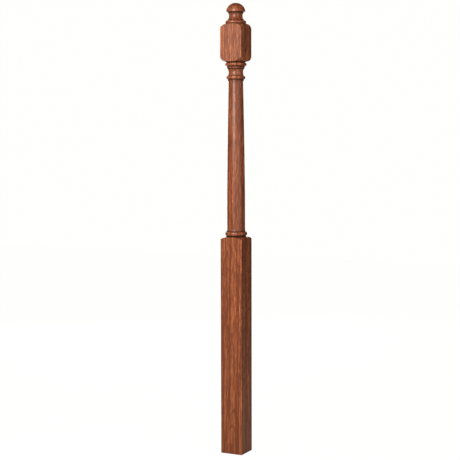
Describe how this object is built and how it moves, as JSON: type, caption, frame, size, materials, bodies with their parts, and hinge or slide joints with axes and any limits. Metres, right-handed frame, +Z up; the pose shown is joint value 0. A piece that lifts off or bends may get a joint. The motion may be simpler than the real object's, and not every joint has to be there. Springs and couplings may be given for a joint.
{
  "type": "newel post",
  "caption": "Turned wooden stair newel post with a long square foot block, tapered round shaft, square head block and ball top.",
  "frame": {"origin": "centre of the underside, on the post's axis", "axes": "+Z up along the post's axis; the four faces of its square blocks look along +X, -X, +Y and -Y, with the flat-sawn face that the picture shows widest on -Y"},
  "size_m": [0.076, 0.076, 1.473],
  "materials": {
    "stained_hardwood": "reddish brown stain under a satin lacquer"
  },
  "bodies": {
    "root": {"newel_post": "stained_hardwood"}
  },
  "joints": []
}
